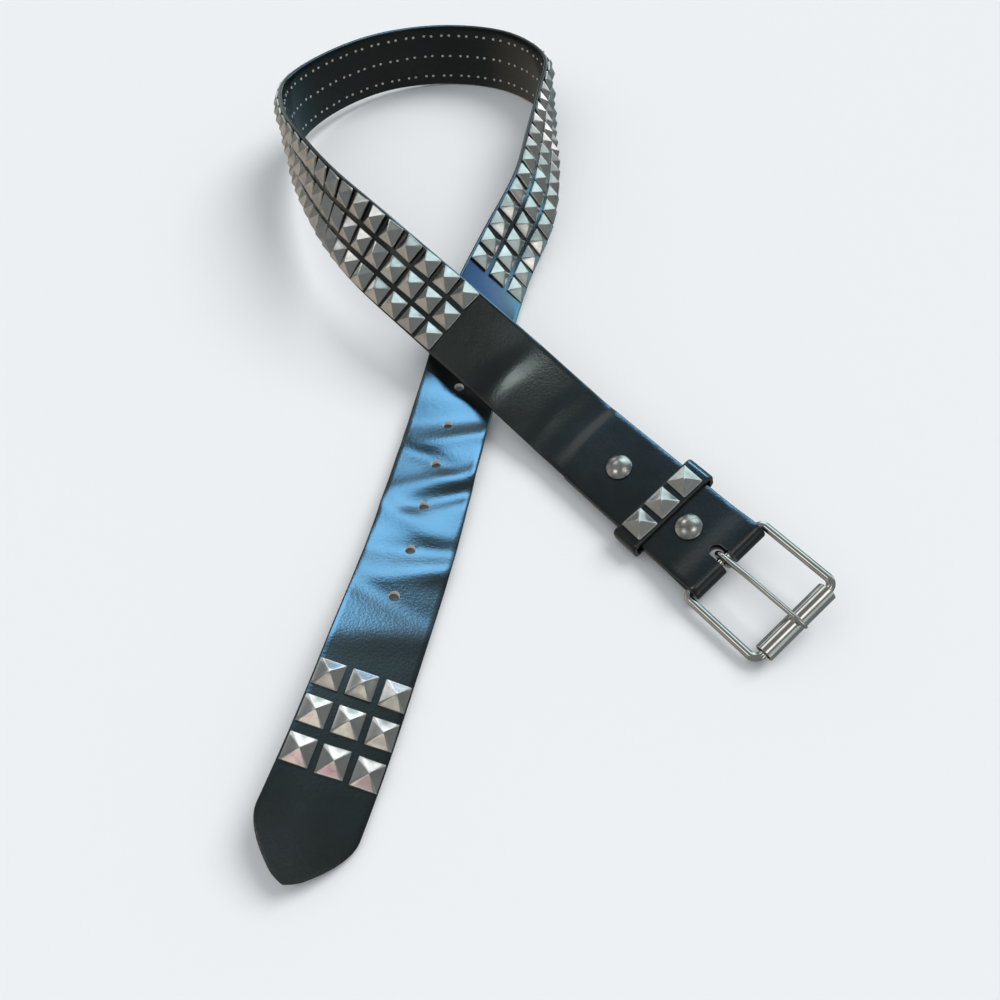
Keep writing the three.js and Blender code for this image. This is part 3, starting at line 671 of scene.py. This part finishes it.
def wire(path, radii, sides, closed=False):
    """A round wire along points in the frame's own directions, in its plane or upright along its middle."""
    path = np.asarray(path, float)
    if closed:
        along = unit(np.roll(path, -1, axis=0) - np.roll(path, 1, axis=0))
    else:
        along = unit(np.gradient(path, axis=0))
    angles = np.linspace(0, 2 * np.pi, sides, endpoint=False)
    flat = np.ptp(path[:, 2]) < LEVEL
    side = np.tile(UP if flat else np.array([0.0, 1.0, 0.0]), (len(path), 1))
    other = np.cross(side, along)
    radii = np.broadcast_to(radii, len(path))
    rings = [p + r * (np.cos(angles)[:, None] * o + np.sin(angles)[:, None] * s)
             for p, o, s, r in zip(path, other, side, radii)]
    return loft([frame_points(ring) for ring in rings], closed)


def frame_path():
    """The frame's middle line, a rectangle with round corners, from its front left corner."""
    side, points = FRAME_SPAN / 2, []
    corners = ((FRAME_REACH - FRONT_CORNER, side - FRONT_CORNER, FRONT_CORNER, 0),
               (REAR_CORNER, side - REAR_CORNER, REAR_CORNER, 90),
               (REAR_CORNER, REAR_CORNER - side, REAR_CORNER, 180),
               (FRAME_REACH - FRONT_CORNER, FRONT_CORNER - side, FRONT_CORNER, 270))
    for x, y, radius, start in corners:
        for a in np.radians(start + np.linspace(0, 90, ARC_POINTS)):
            points.append((x + radius * math.cos(a), y + radius * math.sin(a), 0))
    return points


frame_wire = wire(frame_path(), WIRE_RADIUS, WIRE_SIDES, closed=True)
make_piece("frame_wire", *frame_wire, nickel, "frame", "buckle_nickel", ["buckle_frame"])

# Roller: a sheet rolled to a tube, with turned lips and a seam
ROLLER_WALL, ROLLER_LIP = 0.8, 0.25
ROLLER_SIDES, SEAM_SIDE, SEAM_DEPTH = 64, 40, 0.3
tube = []
inner, outer, end = ROLLER_RADIUS - ROLLER_WALL, ROLLER_RADIUS, ROLLER_LENGTH / 2
roller_profile = (
    (inner, -end + ROLLER_LIP), (inner + ROLLER_LIP, -end), (outer - ROLLER_LIP, -end),
    (outer, -end + ROLLER_LIP), (outer, -end / 3), (outer, end / 3), (outer, end - ROLLER_LIP),
    (outer - ROLLER_LIP, end), (inner + ROLLER_LIP, end), (inner, end - ROLLER_LIP), (inner, 0))
angles = np.linspace(0, 2 * np.pi, ROLLER_SIDES, endpoint=False)
for radius, place in roller_profile:
    outside = radius > ROLLER_RADIUS - ROLLER_WALL / 2
    radii = radius - np.where(np.arange(ROLLER_SIDES) == SEAM_SIDE, SEAM_DEPTH * outside, 0)
    tube.append(frame_points(np.column_stack([
        FRAME_REACH + radii * np.cos(angles), np.full(ROLLER_SIDES, place), radii * np.sin(angles)])))
make_piece("roller_tube", *loft(tube, closed=True), nickel, "roller", "buckle_nickel", ["buckle_roller"])

# Prong: wire bent round the rear bar, with a finger that rests on the roller
EYE = WIRE_RADIUS + LAYER_GAP + PRONG_RADIUS
REST_HEIGHT = ROLLER_RADIUS + LAYER_GAP + PRONG_RADIUS
# The eye starts ahead of the bar, goes under and behind it, and stops above it, in degrees up from forward
EYE_START, EYE_STOP = 400, 96
EYE_POINTS, FINGER_POINTS = 30, 40
PRONG_SIDES = 20
# The share of its radius that the finger thins to, and the shares at its last three points
FINGER_THIN, FINGER_TIP = 0.9, (0.85, 0.72, 0.4)
eye_angles = np.radians(np.linspace(EYE_START, EYE_STOP, EYE_POINTS))
route = [(EYE * math.cos(a), 0, EYE * math.sin(a)) for a in eye_angles]
# The finger's line: reach as a share of the frame's, and height. Its tip drops past the roller.
finger = np.array([
    (0, EYE), (0.35, EYE + (REST_HEIGHT - EYE) * 0.75), (0.75, REST_HEIGHT), (1, REST_HEIGHT),
    (1 + PRONG_PAST_ROLLER / FRAME_REACH, REST_HEIGHT - PRONG_RADIUS * 0.7)])
reach = np.linspace(0, finger[-1, 0], FINGER_POINTS)
slope = np.gradient(finger[:, 1], finger[:, 0])
slope[0] = 0.0
heights = np.zeros(len(reach))
for i in range(len(finger) - 1):
    inside = (reach >= finger[i, 0]) & (reach <= finger[i + 1, 0] + LEVEL)
    span = finger[i + 1, 0] - finger[i, 0]
    w = (reach[inside] - finger[i, 0]) / span
    heights[inside] = ((2 * w**3 - 3 * w**2 + 1) * finger[i, 1] + (w**3 - 2 * w**2 + w) * span * slope[i]
                       + (3 * w**2 - 2 * w**3) * finger[i + 1, 1] + (w**3 - w**2) * span * slope[i + 1])
route += [(x * FRAME_REACH, 0, z) for x, z in zip(reach, heights)]
finger_thins = np.linspace(1, FINGER_THIN, FINGER_POINTS - len(FINGER_TIP))
thins = np.concatenate([np.ones(EYE_POINTS), finger_thins, FINGER_TIP])
prong_wire = wire(route, PRONG_RADIUS * thins, PRONG_SIDES)
make_piece("prong_wire", *prong_wire, nickel, "prong", "buckle_nickel", ["buckle_prong"])

# Floor
FLOOR_SIZE_M = 8
floor_material, _, floor_shader = new_material("pale_floor")
floor_shader.inputs["Base Color"].default_value = (0.84, 0.872, 0.9, 1)
floor_shader.inputs["Roughness"].default_value = 0.9
floor_shader.inputs["Specular IOR Level"].default_value = 0.1
bpy.ops.mesh.primitive_plane_add(size=FLOOR_SIZE_M, location=(0, 0, 0))
floor = bpy.context.object
floor.name = "floor"
floor.data.materials.append(floor_material)
floor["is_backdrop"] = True

# World: pale for the soft light that it sheds, and for gloss a dim room with soft bright panels
ROOM_GLOSS = (0.165, 0.18, 0.18)
ROOM_LIGHT = (0.455, 0.455, 0.455)
# Panels: compass direction from +Y towards +X and elevation, in degrees, full and outer radius, and colour
PANELS = (
    (21, 5, 9, 17, (1.8, 1.85, 1.87)),
    (28, 42, 10, 30, (0.7, 0.98, 1.02)),
    (-20, 6, 4, 20, (0.6, 0.68, 0.68)),
    (138, 24, 5, 18, (0.3, 0.4, 0.4)),
    (-82, -14, 15, 48, (0.27, 0.215, 0.155)),
    (50, -25, 8, 30, (0.0, 0.1, 0.15)),
    (146, 68, 5, 15, (1.3, 1.3, 1.25)),
    (-34, 47, 3, 13, (1.1, 1.1, 1.1)),
    (146, 2, 4, 13, (1.2, 1.15, 1.1)),
    (64, 14, 3, 12, (1.2, 1.2, 1.2)),
    (-112, 45, 3, 13, (1.2, 1.2, 1.15)),
)


def compass(azimuth, elevation):
    a, e = math.radians(azimuth), math.radians(elevation)
    return Vector((math.sin(a) * math.cos(e), math.cos(a) * math.cos(e), math.sin(e)))


world = bpy.data.worlds.new("studio")
bpy.context.scene.world = world
world.use_nodes = True
tree = world.node_tree
background = tree.nodes["Background"]
coordinates = tree.nodes.new("ShaderNodeTexCoord")
total = None
for azimuth, elevation, full, outer, colour in PANELS:
    dot = tree.nodes.new("ShaderNodeVectorMath")
    dot.operation = "DOT_PRODUCT"
    dot.inputs[1].default_value = compass(azimuth, elevation)
    tree.links.new(coordinates.outputs["Generated"], dot.inputs[0])
    edge = tree.nodes.new("ShaderNodeMapRange")
    edge.interpolation_type = "SMOOTHSTEP"
    edge.inputs["From Min"].default_value = math.cos(math.radians(outer))
    edge.inputs["From Max"].default_value = math.cos(math.radians(full))
    tree.links.new(dot.outputs["Value"], edge.inputs["Value"])
    add = tree.nodes.new("ShaderNodeVectorMath")
    add.operation = "MULTIPLY_ADD"
    add.inputs[1].default_value = colour
    tree.links.new(edge.outputs["Result"], add.inputs[0])
    if total is None:
        add.inputs[2].default_value = ROOM_GLOSS
    else:
        tree.links.new(total, add.inputs[2])
    total = add.outputs["Vector"]
path = tree.nodes.new("ShaderNodeLightPath")
mix = tree.nodes.new("ShaderNodeMix")
mix.data_type = "RGBA"
mix.inputs["A"].default_value = (*ROOM_LIGHT, 1)
tree.links.new(path.outputs["Is Glossy Ray"], mix.inputs["Factor"])
tree.links.new(total, mix.inputs["B"])
tree.links.new(mix.outputs["Result"], background.inputs["Color"])
floor.visible_glossy = False

# Lights far away: direction they come from, colour, strength, the angle they fill in degrees, and the end
# of the names of the pieces whose gloss they show in. The first two light everything and show in no gloss.
# The others show in that gloss alone.
SUNS = (
    ("key", compass(60, 46), (1.0, 0.995, 0.985), 1.8, 35, None),
    ("fill", compass(-100, 66), (1.0, 1.0, 1.0), 0.5, 70, None),
    ("blue_panel", compass(13, 57), (0.2, 0.58, 1.0), 2.1, 23, "_leather"),
    ("haze_panel", compass(54, 65), (0.4, 0.62, 0.66), 0.05, 16, "_leather"),
    ("side_panel", compass(66, 30), (0.1, 0.33, 0.85), 0.75, 26, "_leather"),
    ("teal_panel", compass(58, 6), (0.1, 0.6, 0.9), 0.5, 20, "_leather"),
    ("crease_panel", compass(-128, 71), (0.85, 1.0, 0.95), 0.22, 8, "_leather"),
    ("gold_panel", compass(-178, 38), (1.0, 0.95, 0.76), 0.042, 16, "tail_studs"),
    ("pink_panel", compass(-170, 27), (1.0, 0.5, 0.6), 0.03, 12, "tail_studs"),
)
for name, direction, colour, strength, angle, shows_in in SUNS:
    data = bpy.data.lights.new(name, "SUN")
    data.color = colour
    data.energy = strength
    data.angle = math.radians(angle)
    sun = bpy.data.objects.new(name, data)
    sun.rotation_euler = direction.to_track_quat("Z", "Y").to_euler()
    bpy.context.scene.collection.objects.link(sun)
    sun.visible_glossy = shows_in is not None
    sun.visible_diffuse = shows_in is None
    if shows_in is not None:
        receivers = bpy.data.collections.new(f"lit_by_{name}")
        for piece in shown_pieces():
            if piece.name.endswith(shows_in):
                receivers.objects.link(piece)
        sun.light_linking.receiver_collection = receivers
